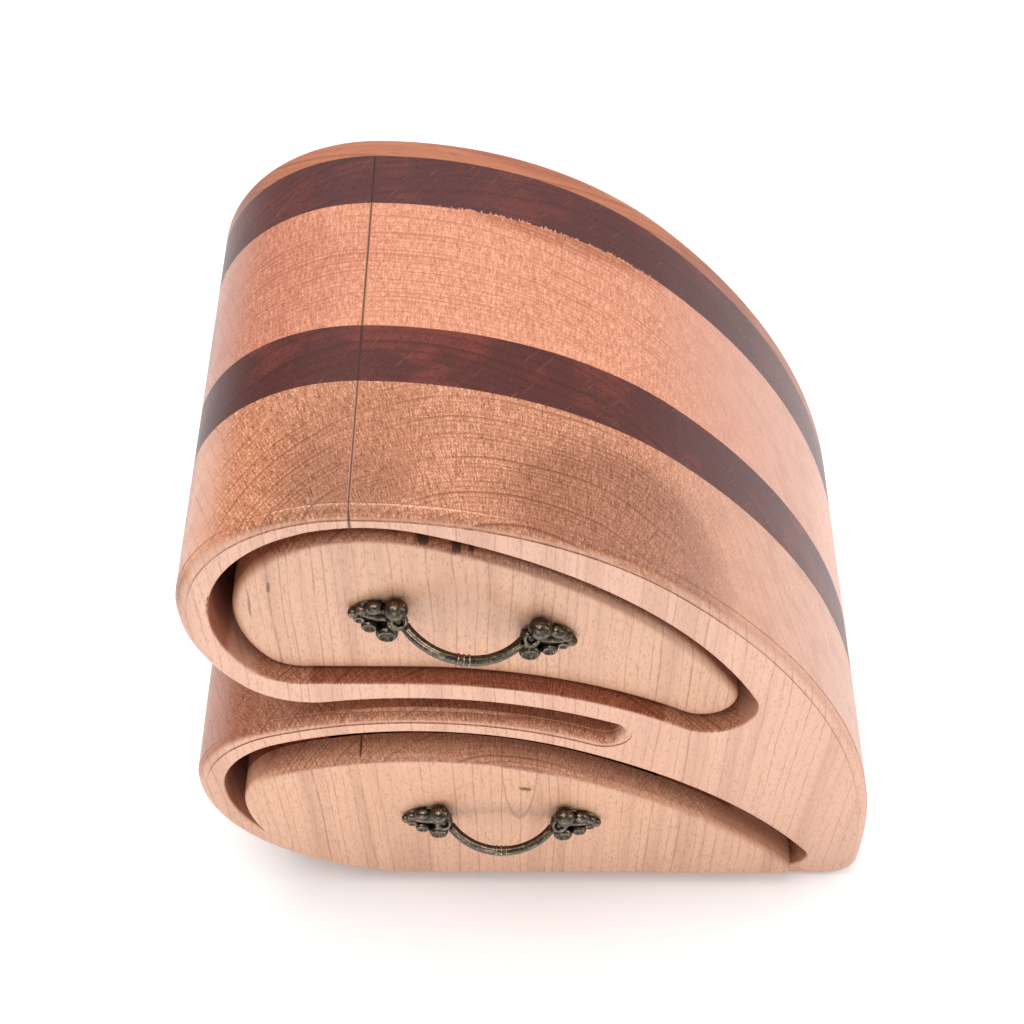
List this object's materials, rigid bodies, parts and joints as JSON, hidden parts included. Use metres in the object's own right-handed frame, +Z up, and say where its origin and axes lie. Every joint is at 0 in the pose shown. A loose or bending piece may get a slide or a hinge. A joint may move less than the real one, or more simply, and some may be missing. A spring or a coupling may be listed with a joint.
{
  "type": "bandsaw box",
  "caption": "Free-standing wooden jewellery box with a rounded, notched outline, striped in light and dark wood, with kidney and teardrop drawers on cast bow handles.",
  "frame": {"origin": "on the flat underside, in the middle of the case's width and depth", "axes": "+X to the right seen from the front, +Y towards the back, +Z up; the drawers open along -Y"},
  "size_m": [0.216, 0.151, 0.2135],
  "materials": {
    "light_wood": "satin varnish",
    "dark_wood": "satin varnish",
    "kerf_filler": "satin varnish",
    "aged_brass": "antiqued, rubbed bright on the high spots",
    "screw_steel": "zinc plated"
  },
  "bodies": {
    "case": {"case_front_block": "light_wood", "case_front_stripe": "dark_wood", "case_middle_block": "light_wood", "case_rear_stripe": "dark_wood", "case_back_panel": "light_wood", "upper_kerf_strip": "kerf_filler", "lower_kerf_strip": "kerf_filler"},
    "upper_drawer": {"upper_drawer_front": "light_wood", "upper_drawer_tray_front": "light_wood", "upper_drawer_tray_front_stripe": "dark_wood", "upper_drawer_tray_middle": "light_wood", "upper_drawer_tray_rear_stripe": "dark_wood", "upper_drawer_back": "dark_wood", "upper_handle": "aged_brass", "upper_handle_screws": "screw_steel"},
    "lower_drawer": {"lower_drawer_front": "light_wood", "lower_drawer_tray_front": "light_wood", "lower_drawer_tray_front_stripe": "dark_wood", "lower_drawer_tray_middle": "light_wood", "lower_drawer_tray_rear_stripe": "dark_wood", "lower_drawer_back": "dark_wood", "lower_handle": "aged_brass", "lower_handle_screws": "screw_steel"}
  },
  "joints": [
    {"name": "upper_drawer_slide", "type": "slide", "parent": "case", "child": "upper_drawer", "axis": [0, -1, 0], "range_m": [0, 0.105]},
    {"name": "lower_drawer_slide", "type": "slide", "parent": "case", "child": "lower_drawer", "axis": [0, -1, 0], "range_m": [-0.0082, 0.097]}
  ]
}
